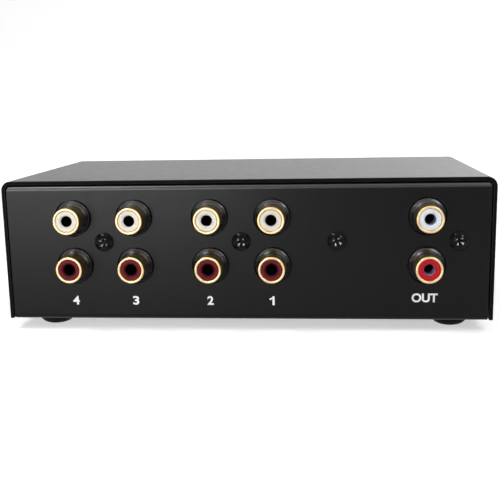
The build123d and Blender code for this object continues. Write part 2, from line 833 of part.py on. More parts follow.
# Open ring that keeps the shaft in its bushing
with BuildPart() as retaining_ring:
    with BuildSketch(across(ring_back)):
        Circle(ring_radius)
        Circle(shaft_radius - ring_groove + turned_clearance, mode=Mode.SUBTRACT)
        with Locations((0, -ring_radius)):
            Rectangle(ring_opening, 2 * ring_radius, mode=Mode.SUBTRACT)
    extrude(amount=ring_thickness)
save(retaining_ring, "retaining_ring")

# Upright board that the switch is soldered to
switch_board_bottom = board_top + board_seat_gap
switch_board_top = selector_height + switch_board_above
with BuildPart() as switch_board:
    with BuildSketch(across(switch_back)):
        with Locations((0, switch_board_bottom - selector_height)):
            Rectangle(
                switch_board_width,
                switch_board_top - switch_board_bottom,
                align=(Align.CENTER, Align.MIN),
            )
        for angle in contact_angles:
            with PolarLocations(station_radius, 1, start_angle=angle):
                Circle(switch_pin_radius + hole_clearance, mode=Mode.SUBTRACT)
        for angle in common_angles:
            with PolarLocations(common_radius, 1, start_angle=angle):
                Circle(switch_pin_radius + hole_clearance, mode=Mode.SUBTRACT)
        with Locations(*[(x, board_top + header_pitch / 2 - selector_height) for x in header_xs]):
            Rectangle(header_pin + hole_clearance, header_pin + hole_clearance, mode=Mode.SUBTRACT)
    extrude(amount=-board_thickness)
save(switch_board, "switch_board")

# Right-angle header between the two boards
pin_height = board_top + header_pitch / 2
pin_drop = header_back - header_pitch / 2
header_length = header_pitch * header_pin_count
with BuildPart() as board_header:
    with BuildSketch(across(switch_board_back)):
        with Locations((0, pin_height - selector_height)):
            Rectangle(header_length, header_pitch)
        with Locations(*[(x, pin_height - selector_height) for x in header_xs]):
            Rectangle(
                header_pin + 2 * header_pin_clearance,
                header_pin + 2 * header_pin_clearance,
                mode=Mode.SUBTRACT,
            )
    extrude(amount=-header_pitch)
save(board_header, "board_header")

header_path = [
    (switch_back, pin_height),
    (pin_drop, pin_height),
    (pin_drop, board_bottom - header_pin_below),
]
with BuildPart() as header_pins:
    for x in header_xs:
        with BuildSketch(Plane.YZ.offset(x)):
            with BuildLine():
                FilletPolyline(*header_path, radius=header_pin_bend)
            trace(line_width=header_pin)
        extrude(amount=header_pin / 2, both=True)
save(header_pins, "header_pins")

# Knob: skirt, fluted grip that tapers towards the top, recess over the nut and a bore with a flat
knob_back = front_face + knob_gap
knob_top = knob_back + knob_height
knob_profile = [
    (0, 0),
    (knob_skirt_radius, 0),
    (knob_skirt_radius, knob_skirt_height),
    (knob_grip_radius, knob_skirt_height),
    (knob_top_radius, knob_height),
    (0, knob_height),
]
knob_section = Plane(origin=(0, knob_back, selector_height), x_dir=(1, 0, 0), z_dir=(0, 0, 1))
pointer_plane = across(knob_top, pointer_angle)
screw_plane = across(knob_back + set_screw_depth, pointer_angle + 180)
screw_line = Plane(origin=screw_plane.origin, x_dir=screw_plane.z_dir, z_dir=screw_plane.x_dir)
with BuildPart() as selector_knob:
    with BuildSketch(knob_section) as outline:
        with BuildLine():
            Polyline(*knob_profile, close=True)
        make_face()
        top_corner = outline.vertices().group_by(Axis.Y)[-1].sort_by(Axis.X)[-1]
        skirt_corner = outline.vertices().group_by(Axis.X)[-1].sort_by(Axis.Y)[-1]
        fillet(top_corner, radius=knob_top_round)
        fillet(skirt_corner, radius=knob_skirt_round)
    revolve(axis=selector_axis)
    with BuildSketch(across(knob_back + knob_skirt_height, pointer_angle)):
        with PolarLocations(knob_grip_radius + flute_radius - flute_bite, flute_count):
            Circle(flute_radius)
    extrude(amount=knob_height, mode=Mode.SUBTRACT)
    with BuildSketch(across(knob_back - overrun)):
        Circle(knob_recess_radius)
    extrude(amount=knob_recess_depth + overrun, mode=Mode.SUBTRACT)
    with BuildSketch(across(knob_floor, pointer_angle + 180)):
        Circle(bore_radius)
        with Locations((bore_flat, 0)):
            Rectangle(bore_radius, 2 * bore_radius, align=(Align.MIN, Align.CENTER), mode=Mode.SUBTRACT)
    extrude(amount=knob_bore_depth + turned_clearance, mode=Mode.SUBTRACT)
    with BuildSketch(pointer_plane):
        with Locations((pointer_start, 0)):
            Rectangle(knob_skirt_radius, pointer_width, align=(Align.MIN, Align.CENTER))
    extrude(amount=-pointer_depth, mode=Mode.SUBTRACT)
    with BuildSketch(screw_line):
        Circle(set_screw_radius + thread_clearance)
    extrude(amount=knob_skirt_radius, mode=Mode.SUBTRACT)
save(selector_knob, "selector_knob")

with BuildPart() as knob_pointer:
    with BuildSketch(pointer_plane.offset(-pointer_depth)):
        with Locations((pointer_start + pointer_clearance, 0)):
            Rectangle(
                knob_top_radius - knob_top_round - pointer_start,
                pointer_width - 2 * pointer_clearance,
                align=(Align.MIN, Align.CENTER),
            )
    extrude(amount=pointer_depth)
save(knob_pointer, "knob_pointer")

with BuildPart() as knob_set_screw:
    with BuildSketch(screw_line.offset(flat_offset + turned_clearance)):
        Circle(set_screw_radius)
    extrude(amount=set_screw_length)
    with BuildSketch(screw_line.offset(flat_offset + turned_clearance + set_screw_length)):
        RegularPolygon(set_screw_socket_flats / 2, side_count=6, major_radius=False)
    extrude(amount=-set_screw_socket_depth, mode=Mode.SUBTRACT)
save(knob_set_screw, "knob_set_screw")
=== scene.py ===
import json
from math import atan2, cos, pi, radians, sin, tan

import bmesh
import bpy
from mathutils import Matrix, Vector


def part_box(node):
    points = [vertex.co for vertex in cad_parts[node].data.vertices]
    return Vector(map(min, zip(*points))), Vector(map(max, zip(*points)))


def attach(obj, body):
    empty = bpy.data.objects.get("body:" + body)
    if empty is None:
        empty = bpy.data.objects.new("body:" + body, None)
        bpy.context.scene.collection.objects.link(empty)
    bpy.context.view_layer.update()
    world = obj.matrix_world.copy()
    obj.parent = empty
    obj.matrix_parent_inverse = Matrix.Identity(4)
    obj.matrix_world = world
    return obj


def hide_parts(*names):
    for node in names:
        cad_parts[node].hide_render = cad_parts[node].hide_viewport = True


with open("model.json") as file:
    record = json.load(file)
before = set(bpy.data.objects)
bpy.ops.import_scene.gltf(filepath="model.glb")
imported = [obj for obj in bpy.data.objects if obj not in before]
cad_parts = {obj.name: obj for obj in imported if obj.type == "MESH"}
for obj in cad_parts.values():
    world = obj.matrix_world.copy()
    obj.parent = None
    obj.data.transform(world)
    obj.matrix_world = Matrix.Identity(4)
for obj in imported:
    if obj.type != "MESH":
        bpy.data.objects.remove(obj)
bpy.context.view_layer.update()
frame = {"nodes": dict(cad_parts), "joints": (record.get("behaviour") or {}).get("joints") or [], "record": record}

# Folded sheet, all lengths in metres
sheet = 0.0012
half_sheet = sheet / 2
tray_bend = 0.0012
cover_bend = 0.0024
top_lip = 0.009
flange_height = 0.017
flange_setback = 0.006
corner_relief = 0.002
edge_round = 0.00022
overrun = 0.001
overlap = 0.0004
slack = 0.00001
weld_reach = 0.000002

# Phono sockets: heights are measured outward from the back panel
barrel_radius = 0.00415
neck_radius = 0.00385
neck_height = 0.0013
barrel_inner = 0.0033
barrel_lip = 0.0004
rivet_radius = 0.0047
rivet_height = 0.0005
insulator_radius = 0.00325
insulator_recess = 0.0003
insulator_round = 0.00015
mouth_width = 0.0005
mouth_depth = 0.0006
mouth_round = 0.0003
lining_margin = 0.0001
pin_radius = 0.00165
pin_depth = 0.0055
contact_bore = 0.00205

# Moulded blocks behind the sockets
boss_radius = 0.00545
boss_gap = 0.00045
boss_edge = 0.0001
boss_height = 0.0004
collar_radius = 0.00485
collar_edge = 0.0007
collar_top_radius = 0.00425
collar_height = 0.0013
boss_round = 0.00015
neck_clearance = 0.00005
block_corner = 0.001

# Screws
head_radius = 0.00295
head_height = 0.0018
head_rim = 0.0005
head_round = 0.0002
thread_radius = 0.0015
thread_clearance = 0.0001
screw_hole_radius = thread_radius + thread_clearance
rear_thread = 0.008
cover_thread = 0.006
recess_span = 0.0029
recess_slot = 0.00075
recess_depth = 0.0014
recess_taper_share = 0.45
recess_edge = 0.00009
worn_lean_shares = (0.45, 0.88)
# Turns of the recesses, in degrees
rear_screw_turns = (58, 50, 66, 54)
cover_screw_turns = (25, 8, 52, 35)

# Holes that only the inner parts use
spacer_radius = 0.003
spigot_radius = 0.0021
bushing_hole_radius = 0.0047
locating_hole_radius = 0.0014
locating_drop = 0.0102

# Feet
foot_flat_radius = 0.0036
foot_rim = 0.0008
foot_bulge_share = 0.88
foot_bulge_height_share = 0.3
foot_round = 0.0003

# Printed lettering
print_thickness = 0.00004
digit_height = 0.00285
digit_width_shares = {"1": 0.55, "2": 0.695, "3": 0.69, "4": 0.75}
word_height = 0.00285
word_width = 0.00795
letter_weight = 0.03
back_print_rise = 0.0063
back_print_shift = 0.0004
output_print_rise = 0.00735
dial_print_height = 0.0034
dial_print_radius = 0.0168
tick_start = 0.0132
tick_end = 0.0144
tick_width = 0.0006
# Turns of the dial's places from straight up towards +X, in degrees
dial_turns = (45, 15, -15, -45)
# Outline of the numeral one, as shares of its height
numeral_one_shares = (
    (0.549, 0), (0.549, 1), (0.394, 1), (0.33, 0.88), (0.211, 0.781),
    (0.111, 0.748), (0.111, 0.575), (0.253, 0.622), (0.358, 0.72), (0.358, 0),
)

# Faces that get a finish of their own, told by the shares of their direction along the axes; those of the bends
# and the tapers get painted highlights
flat_share = 0.99
bend_end_share = 0.3
bend_share = 0.05
bend_highlight_share = 0.45
taper_share = 0.12
taper_highlight_share = 0.28

# Paints: name, roughness and specular level
paints = {
    "case_paint": ("satin_powder_coat", 0.33, 0.15),
    # A glossier copy of the paint for the top of the cover: a painted sheen
    "painted_top_sheen": ("painted_top_sheen", 0.34, 0.56),
    # Glossier copies of the paint for the tray's bends, the brighter one higher on the bend: a painted highlight
    "painted_bend_sheen": ("painted_bend_sheen", 0.36, 0.6),
    "painted_bend_highlight": ("painted_bend_highlight", 0.36, 1.0),
}
# Plastics: name, linear colour, roughness, the share that colour and sheen vary by, and specular level
block_black = (0.0025, 0.0025, 0.003)
plastics = {
    "input_white": ("cream_insulator", (0.7, 0.66, 0.585), 0.4, 0.04, 0.15),
    "input_red": ("crimson_insulator", (0.13, 0.01, 0.018), 0.5, 0.15, 0.08),
    "output_white": ("white_insulator", (0.74, 0.79, 0.85), 0.4, 0.04, 0.15),
    "output_red": ("red_insulator", (0.47, 0.009, 0.025), 0.45, 0.1, 0.12),
    "black_plastic": ("black_moulding", block_black, 0.3, 0.2, 0.12),
    # Glossier copies of the black moulding for the upper side of the bosses: a painted highlight
    "painted_taper_sheen": ("painted_taper_sheen", block_black, 0.3, 0.2, 0.32),
    "painted_taper_highlight": ("painted_taper_highlight", block_black, 0.3, 0.2, 0.7),
    "switch_plastic": ("switch_moulding", (0.03, 0.03, 0.032), 0.5, 0.2, 0.5),
    "board": ("circuit_board", (0.02, 0.12, 0.05), 0.4, 0.2, 0.5),
    "knob_plastic": ("knob_moulding", (0.012, 0.012, 0.013), 0.4, 0.2, 0.5),
    "cut_edge": ("matte_cut_edge", (0.006, 0.006, 0.007), 0.85, 0.2, 0.02),
    # Painted shade: a near-black lining for the holes of the input sockets
    "painted_hole_shade": ("painted_hole_shade", (0.002, 0.002, 0.002), 0.7, 0.2, 0.05),
}
# Painted reflection: a pale bluish lining for the holes of the output sockets
painted_hole_reflection = ("painted_hole_reflection", (0.3, 0.35, 0.42), 0.35, 0.05, 0.3)
white_print = ("white_print", (0.82, 0.83, 0.83), 0.5, 0.05, 0.5)
# Painted shade: how dark the red insulators of the inputs get at their holes
red_hole_shade_share = 0.12
# Plated metals: name, linear colour and roughness
platings = {
    "zinc_plate": ("zinc_plate", (0.62, 0.63, 0.65), 0.35),
    "tin_plate": ("tin_plate", (0.74, 0.73, 0.7), 0.3),
    "spring_bronze": ("spring_bronze", (0.72, 0.5, 0.28), 0.28),
    "dull_contact": ("dull_contact", (0.05, 0.05, 0.05), 0.5),
    "worn_steel": ("worn_steel", (0.26, 0.26, 0.27), 0.3),
}
shaft_metal = ("turned_aluminium", (0.72, 0.72, 0.73), 0.3)
shaft_stretch = (1, 12, 1)
# Finishes between two colours, with their lowest and highest roughness
paint_darkest = (0.0004, 0.0004, 0.0006)
paint_lightest = (0.0008, 0.0008, 0.0012)
paint_sheen_shares = (0.94, 1.06)
screw_darkest = (0.001, 0.001, 0.0014)
screw_lightest = (0.0022, 0.0022, 0.0027)
screw_sheen = (0.09, 0.15)
screw_specular = 0.1
gold_darkest = (0.65, 0.47, 0.24)
gold_lightest = (0.69, 0.51, 0.27)
gold_sheen = (0.27, 0.33)
plating_dark_share = 0.85
plating_sheen_shares = (0.7, 1.3)
rubber_darkest = (0.003, 0.003, 0.0035)
rubber_lightest = (0.006, 0.006, 0.0065)
rubber_sheen = (0.55, 0.75)
rubber_specular = 0.12

# Grain of the finishes: the size of patches of colour and sheen, and the size and depth of bumps
paint_cloud = 0.004
paint_patch = 0.003
peel_size = 0.0009
peel_depth = 0.000002
fine_peel_size = 0.00022
fine_peel_depth = 0.0000008
screw_cloud = 0.0006
screw_patch = 0.0005
screw_grain = 0.0004
screw_depth = 0.0000005
gold_cloud = 0.002
gold_patch = 0.0002
gold_grain = 0.00012
gold_depth = 0.0000003
plastic_grain = 0.0003
plastic_depth = 0.000003
plastic_cloud_share = 8
plastic_patch_share = 4
lining_depth = 0.0000005
print_grain = 0.0001
print_depth = 0.000002
plating_cloud = 0.002
plating_patch = 0.0008
plating_grain = 0.0003
plating_depth = 0.000003
rubber_cloud = 0.0015
rubber_patch = 0.001
rubber_grain = 0.0004
rubber_depth = 0.00001
# Part of a noise's range that most of its values lie in, and the number of its finer layers
noise_shares = (0.3, 0.7)
noise_layers = 3
usual_specular = 0.5

# Stage and light
floor_front = -5.0
floor_back = 0.6
floor_side = 5.0
sweep_radius = 0.5
wall_height = 1.8
floor_colour = (0.86, 0.86, 0.86)
floor_roughness = 0.9
floor_specular = 0.1
floor_glow = 0.52
room_light = 0.17
room_glow = 1.0
white = (1, 1, 1, 1)
# Lamps: place, point aimed at, width, height, power in watts, and the angle in degrees that light leaves at
lamps = {
    "key_softbox": ((-0.15, -0.32, 0.036), (-0.08, -0.044, 0.03), 0.24, 0.07, 0.085, 70),
    "strip_softbox": ((-0.24, -0.22, 0.48), (-0.06, -0.044, 0.04), 0.24, 0.1, 0.9, 180),
    "accent_softbox": ((-0.2, -0.4, 0.2), (-0.04, -0.044, 0.03), 0.05, 0.05, 0.15, 180),
    "fill_softbox": ((0.24, -0.26, 0.24), (0.06, -0.05, 0.03), 0.12, 0.12, 0.36, 180),
    "front_softbox": ((0.28, 0.44, 0.42), (0, 0.03, 0.02), 0.36, 0.3, 1.0, 180),
    "top_softbox": ((0.05, -0.1, 1.0), (0, 0, 0), 1.2, 1.0, 1.5, 180),
}

# Camera: its place from the middle of the back panel's lower edge, and its turns in degrees
camera_across = 0.02483
camera_distance = 0.24804
camera_rise = 0.06981
camera_yaw = -5.283
camera_pitch = 10.749
camera_roll = 1.143
nearest_seen = 0.01
# The lens and the sensor, in millimetres
focal_length = 58.69
sensor_width = 36.0

# Roundness of turned pieces and of bends
turn_steps = 96
hole_steps = 72
arc_steps = 10
cover_edge_steps = 3
recess_edge_steps = 1
sharp_angle = radians(32)

record = frame["record"]
tray_low, tray_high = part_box("chassis_tray")
cover_low, cover_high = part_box("top_cover")
rear_face = tray_low.y
front_face = tray_high.y
base_bottom = tray_low.z
tray_top = tray_high.z
half_panel = tray_high.x
half_width = cover_high.x
socket_columns = ("input_4", "input_3", "input_2", "input_1", "output")
colours = ("white", "red")
block_names = ("left_input", "right_input", "output")


def middle(node):
    """The middle point of a node's box."""
    low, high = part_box(node)
    return (low + high) / 2


def facing(right, up, out):
    """A turn that sets a piece's own X, Y and Z along these directions."""
    return Matrix((right, up, out)).transposed().to_4x4()


rearward = facing((1, 0, 0), (0, 0, 1), (0, -1, 0))
forward = facing((-1, 0, 0), (0, 0, 1), (0, 1, 0))
leftward = facing((0, -1, 0), (0, 0, 1), (-1, 0, 0))
rightward = facing((0, 1, 0), (0, 0, 1), (1, 0, 0))
upward = Matrix.Identity(4)

# Axes of an outline and of the way that it is pushed
flat_axes = ((1, 0, 0), (0, 1, 0), (0, 0, 1))
across_axes = ((1, 0, 0), (0, 0, 1), (0, 1, 0))
along_axes = ((0, 1, 0), (0, 0, 1), (1, 0, 0))


def at(x, y, z, turn=upward):
    """A place, with the turn that a piece has there."""
    return Matrix.Translation((x, y, z)) @ turn


# Mesh tools

def arc(centre, start, end):
    """Points the short way round a centre; start and end are measured from it."""
    first = atan2(start.y, start.x)
    turn = atan2(start.cross(end), start.dot(end))
    angles = [first + turn * step / arc_steps for step in range(arc_steps + 1)]
    return [centre + start.length * Vector((cos(angle), sin(angle))) for angle in angles]


def rounded(corners, closed=True):
    """Points along an outline whose corners, each with a radius, are turned into arcs."""
    points = []
    for index, (u, v, radius) in enumerate(corners):
        corner = Vector((u, v))
        at_end = index in (0, len(corners) - 1)
        if radius == 0 or (at_end and not closed):
            points.append(corner)
            continue
        before = (Vector(corners[index - 1][:2]) - corner).normalized()
        after = (Vector(corners[(index + 1) % len(corners)][:2]) - corner).normalized()
        half_angle = before.angle(after) / 2
        reach = radius / tan(half_angle)
        centre = corner + (before + after).normalized() * radius / sin(half_angle)
        start = corner + before * reach - centre
        end = corner + after * reach - centre
        points += arc(centre, start, end)
    return points


def arc_through(start, bulge, end):
    """Points of the arc through three points, without its start."""
    a, b, c = (Vector(point) for point in (start, bulge, end))
    span = 2 * (a.x * (b.y - c.y) + b.x * (c.y - a.y) + c.x * (a.y - b.y))
    squares = [p.length_squared for p in (a, b, c)]
    centre = Vector((
        squares[0] * (b.y - c.y) + squares[1] * (c.y - a.y) + squares[2] * (a.y - b.y),
        squares[0] * (c.x - b.x) + squares[1] * (a.x - c.x) + squares[2] * (b.x - a.x),
    )) / span
    return arc(centre, a - centre, c - centre)[1:]


def thickened(path, thickness):
    """Closed outline of a sheet of this thickness along an open path."""
    left = []
    right = []
    for index, point in enumerate(path):
        runs = [path[k + 1] - path[k] for k in (index - 1, index) if 0 <= k < len(path) - 1]
        along = sum((run.normalized() for run in runs), Vector((0, 0))).normalized()
        across = Vector((-along.y, along.x)) * thickness / 2
        left.append(point + across)
        right.append(point - across)
    return left + right[::-1]


def closed_round(form, lower, upper):
    """Faces between two rings of points and over both ends."""
    count = len(lower)
    for k in range(count):
        form.faces.new((lower[k], lower[(k + 1) % count], upper[(k + 1) % count], upper[k]))
    form.faces.new(lower)
    form.faces.new(upper)
    bmesh.ops.recalc_face_normals(form, faces=form.faces)
    return form


def prism(outline, low, high, axes):
    """An outline pushed from low to high; the axes are those of the outline and of the push."""
    u, v, w = (Vector(axis) for axis in axes)
    form = bmesh.new()
    rings = [[form.verts.new(p[0] * u + p[1] * v + end * w) for p in outline] for end in (low, high)]
    return closed_round(form, *rings)


def lathe(outline, steps=turn_steps):
    """A closed outline of (radius, height) points turned about Z."""
    form = bmesh.new()
    rings = []
    for radius, height in outline:
        if radius == 0:
            rings.append([form.verts.new((0, 0, height))] * steps)
            continue
        angles = [2 * pi * k / steps for k in range(steps)]
        rings.append([form.verts.new((radius * cos(a), radius * sin(a), height)) for a in angles])
    for ring, following in zip(rings, rings[1:] + rings[:1]):
        for k in range(steps):
            corners = (ring[k], ring[(k + 1) % steps], following[(k + 1) % steps], following[k])
            corners = list(dict.fromkeys(corners))
            if len(corners) > 2:
                form.faces.new(corners)
    bmesh.ops.recalc_face_normals(form, faces=form.faces)
    return form


def placed(form, place):
    """A form that was made at the origin, moved to its place."""
    form.transform(place)
    return form


def bore(radius, low, high, place):
    """A round form that cuts a hole, from low to high along the place's own Z."""
    return placed(lathe([(0, low), (radius, low), (radius, high), (0, high)], hole_steps), place)


def gathered(forms):
    """Several forms in one."""
    whole = bmesh.new()
    for form in forms:
        part = meshed(form, "part")
        whole.from_mesh(part)
        bpy.data.meshes.remove(part)
    return whole


def meshed(form, name):
    """A form turned into a mesh."""
    mesh = bpy.data.meshes.new(name)
    form.to_mesh(mesh)
    form.free()
    return mesh


def shown(name, data):
    """A new object in the scene."""
    thing = bpy.data.objects.new(name, data)
    bpy.context.scene.collection.objects.link(thing)
    return thing


def with_modifiers(thing):
    """The mesh that an object has after its modifiers; the object itself is cleared away."""
    graph = bpy.context.evaluated_depsgraph_get()
    mesh = bpy.data.meshes.new_from_object(thing.evaluated_get(graph), depsgraph=graph)
    bpy.data.objects.remove(thing)
    return mesh


def combined(mesh, operation, form):
    """A mesh with a form cut from it, joined to it or kept in common with it."""
    thing = shown("base", mesh)
    tool = shown("tool", meshed(form, "tool"))
    step = thing.modifiers.new("combine", "BOOLEAN")
    step.operation = operation
    step.object = tool
    result = with_modifiers(thing)
    bpy.data.objects.remove(tool)
    return result


def softened(mesh, width, segments=2):
    """A mesh with its sharp edges slightly rounded."""
    thing = shown("base", mesh)
    mesh.shade_smooth()
    edge = thing.modifiers.new("edge", "BEVEL")
    edge.width = width
    edge.segments = segments
    edge.limit_method = "ANGLE"
    edge.angle_limit = sharp_angle
    even = thing.modifiers.new("even", "WEIGHTED_NORMAL")
    even.keep_sharp = True
    return with_modifiers(thing)


def welded(mesh):
    """A mesh with the points that lie on each other joined."""
    form = bmesh.new()
    form.from_mesh(mesh)
    bmesh.ops.remove_doubles(form, verts=form.verts, dist=weld_reach)
    bmesh.ops.dissolve_degenerate(form, edges=form.edges, dist=weld_reach)
    bmesh.ops.recalc_face_normals(form, faces=form.faces)
    form.to_mesh(mesh)
    form.free()
    return mesh


def smoothed(mesh):
    """A mesh that shades smoothly but for its sharp edges."""
    welded(mesh)
    mesh.shade_smooth()
    mesh.set_sharp_from_angle(angle=sharp_angle)
    return mesh


# Surfaces

def shader_of(made):
    """The shader of a material."""
    return made.node_tree.nodes["Principled BSDF"]


def surface(name, colour, roughness, metallic=0.0, specular=usual_specular):
    """A new material; its even values are set on the shader itself."""
    made = bpy.data.materials.new(name)
    made.use_nodes = True
    shader = shader_of(made)
    shader.inputs["Base Color"].default_value = (*colour, 1)
    shader.inputs["Roughness"].default_value = roughness
    shader.inputs["Metallic"].default_value = metallic
    shader.inputs["Specular IOR Level"].default_value = specular
    return made


def added(made, kind, **values):
    """A new node in a material, with values for its inputs."""
    node = made.node_tree.nodes.new(kind)
    for name, value in values.items():
        node.inputs[name.replace("_", " ").title()].default_value = value
    return node


def round_axis(made):
    """The distance from the piece's own Z axis, and the height along it."""
    link = made.node_tree.links.new
    split = added(made, "ShaderNodeSeparateXYZ")
    link(added(made, "ShaderNodeTexCoord").outputs["Object"], split.inputs[0])
    flat = added(made, "ShaderNodeCombineXYZ")
    link(split.outputs["X"], flat.inputs["X"])
    link(split.outputs["Y"], flat.inputs["Y"])
    radius = added(made, "ShaderNodeVectorMath")
    radius.operation = "LENGTH"
    link(flat.outputs[0], radius.inputs[0])
    return radius.outputs["Value"], split.outputs["Z"]


def spots(made, size, stretch=(1, 1, 1), turned=False):
    """A noise with features of this size in metres, on the piece's own coordinates, or in rings if turned."""
    link = made.node_tree.links.new
    if turned:
        radius, height = round_axis(made)
        round_place = added(made, "ShaderNodeCombineXYZ")
        link(radius, round_place.inputs["X"])
        link(height, round_place.inputs["Y"])
        place = round_place.outputs[0]
    else:
        place = added(made, "ShaderNodeTexCoord").outputs["Object"]
    mapping = added(made, "ShaderNodeMapping", scale=stretch)
    link(place, mapping.inputs["Vector"])
    noise = added(made, "ShaderNodeTexNoise", scale=1 / size, detail=noise_layers)
    link(mapping.outputs[0], noise.inputs["Vector"])
    return noise.outputs["Fac"]


def spread(made, source, low, high):
    """The middle of a noise's range spread from low to high."""
    first, last = noise_shares
    span = added(made, "ShaderNodeMapRange", from_min=first, from_max=last, to_min=low, to_max=high)
    made.node_tree.links.new(source, span.inputs["Value"])
    return span.outputs["Result"]


def vary_roughness(made, low, high, size, **how):
    """Let the roughness wander from low to high in patches of this size."""
    result = spread(made, spots(made, size, **how), low, high)
    made.node_tree.links.new(result, shader_of(made).inputs["Roughness"])


def vary_colour(made, first, second, size, **how):
    """Let the colour wander from the first to the second in patches of this size."""
    mix = added(made, "ShaderNodeMix")
    mix.data_type = "RGBA"
    ends = {"A_Color": (*first, 1), "B_Color": (*second, 1)}
    for socket in mix.inputs:
        if socket.identifier in ends:
            socket.default_value = ends[socket.identifier]
    result = next(socket for socket in mix.outputs if socket.identifier == "Result_Color")
    link = made.node_tree.links.new
    link(spread(made, spots(made, size, **how), 0, 1), mix.inputs["Factor"])
    link(result, shader_of(made).inputs["Base Color"])


def darken_inward(made, inner, outer, share):
    """Paint shade into the colour, darker from an outer radius to an inner one, round the piece's own Z axis, down
    to this share.
    """
    link = made.node_tree.links.new
    radius, height = round_axis(made)
    fade = added(made, "ShaderNodeMapRange", from_min=inner, from_max=outer, to_min=share, to_max=1)
    link(radius, fade.inputs["Value"])
    dimmed = added(made, "ShaderNodeVectorMath")
    dimmed.operation = "SCALE"
    colour = shader_of(made).inputs["Base Color"]
    link(colour.links[0].from_socket, dimmed.inputs[0])
    link(fade.outputs["Result"], dimmed.inputs["Scale"])
    link(dimmed.outputs[0], colour)


def roughen(made, size, depth, **how):
    """A bump with features of this size and depth in metres, on top of any bump before it."""
    bump = added(made, "ShaderNodeBump", strength=1.0, distance=depth)
    link = made.node_tree.links.new
    link(spots(made, size, **how), bump.inputs["Height"])
    normal = shader_of(made).inputs["Normal"]
    if normal.is_linked:
        link(normal.links[0].from_socket, bump.inputs["Normal"])
    link(bump.outputs[0], normal)


def halfway(first, second):
    """The colour in the middle between two."""
    return tuple((a + b) / 2 for a, b in zip(first, second))


def make_paint(name, roughness, specular):
    """Satin black powder coat with a fine orange peel."""
    made = surface(name, halfway(paint_darkest, paint_lightest), roughness, specular=specular)
    vary_colour(made, paint_darkest, paint_lightest, paint_cloud)
    sheen = [share * roughness for share in paint_sheen_shares]
    vary_roughness(made, *sheen, paint_patch)
    roughen(made, peel_size, peel_depth)
    roughen(made, fine_peel_size, fine_peel_depth)
    return made


def make_screw():
    """Blackened steel under a film of oil."""
    colour = halfway(screw_darkest, screw_lightest)
    made = surface("black_oxide", colour, sum(screw_sheen) / 2, specular=screw_specular)
    vary_colour(made, screw_darkest, screw_lightest, screw_cloud)
    vary_roughness(made, *screw_sheen, screw_patch)
    roughen(made, screw_grain, screw_depth)
    return made


def make_gold():
    """Gold plate with the fine rings that turning leaves."""
    colour = halfway(gold_darkest, gold_lightest)
    made = surface("gold_plate", colour, sum(gold_sheen) / 2, metallic=1.0)
    vary_colour(made, gold_darkest, gold_lightest, gold_cloud)
    vary_roughness(made, *gold_sheen, gold_patch, turned=True)
    roughen(made, gold_grain, gold_depth, turned=True)
    return made


def make_plastic(name, colour, roughness, share, specular, grain=plastic_grain, depth=plastic_depth):
    """Moulded plastic with a slightly uneven colour and a fine grain."""
    made = surface(name, colour, roughness, specular=specular)
    darker = tuple(c * (1 - share) for c in colour)
    lighter = tuple(min(1, c * (1 + share)) for c in colour)
    vary_colour(made, darker, lighter, plastic_cloud_share * grain)
    vary_roughness(made, roughness * (1 - share), roughness * (1 + share), plastic_patch_share * grain)
    roughen(made, grain, depth)
    return made


def make_plating(name, colour, roughness, stretch=(1, 1, 1)):
    """Plated metal with a cloudy colour and fine lines."""
    made = surface(name, colour, roughness, metallic=1.0)
    vary_colour(made, tuple(plating_dark_share * c for c in colour), colour, plating_cloud)
    sheen = [share * roughness for share in plating_sheen_shares]
    vary_roughness(made, *sheen, plating_patch, stretch=stretch)
    roughen(made, plating_grain, plating_depth, stretch=stretch)
    return made


def make_rubber():
    """Dull black rubber."""
    colour = halfway(rubber_darkest, rubber_lightest)
    made = surface("foot_rubber", colour, sum(rubber_sheen) / 2, specular=rubber_specular)
    vary_colour(made, rubber_darkest, rubber_lightest, rubber_cloud)
    vary_roughness(made, *rubber_sheen, rubber_patch)
    roughen(made, rubber_grain, rubber_depth)
    return made


# The finishes of the record's material slots, and those that only part of a piece or the contacts have
looks = {slot: make_paint(*values) for slot, values in paints.items()}
looks |= {slot: make_plastic(*values) for slot, values in plastics.items()}
looks |= {slot: make_plating(*values) for slot, values in platings.items()}
looks["black_screw"] = make_screw()
looks["gold_plate"] = make_gold()
looks["foot_rubber"] = make_rubber()
looks["shaft_metal"] = make_plating(*shaft_metal, stretch=shaft_stretch)
looks["pointer_white"] = make_plastic(*white_print, grain=print_grain, depth=print_depth)
looks["painted_hole_reflection"] = make_plastic(*painted_hole_reflection, depth=lining_depth)
# Painted shade: the red insulators of the inputs darken towards their holes
darken_inward(looks["input_red"], pin_radius, pin_radius + 2 * mouth_width, red_hole_shade_share)
slot_of = {part["node"]: part["material_slot"] for part in record["subparts"]}
for node, thing in frame["nodes"].items():
    for holder in thing.material_slots:
        holder.material = looks[slot_of[node]]
for block_name in block_names:
    for holder in frame["nodes"][f"{block_name}_contacts"].material_slots:
        holder.material = looks["dull_contact"]


def piece(name, mesh, slot, place=upward, stands_for=(), body="case"):
    """A finished piece in its place, on its body."""
    thing = shown(name, mesh)
    thing.matrix_world = place
    mesh.materials.clear()
    mesh.materials.append(looks[slot])
    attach(thing, body)
    if stands_for:
        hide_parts(*stands_for)
    return thing


def refinish(thing, look, test):
    """Give another finish to the faces whose middle and direction pass a test."""
    thing.data.materials.append(looks[look])
    number = len(thing.data.materials) - 1
    for face in thing.data.polygons:
        if test(face.center, face.normal):
            face.material_index = number


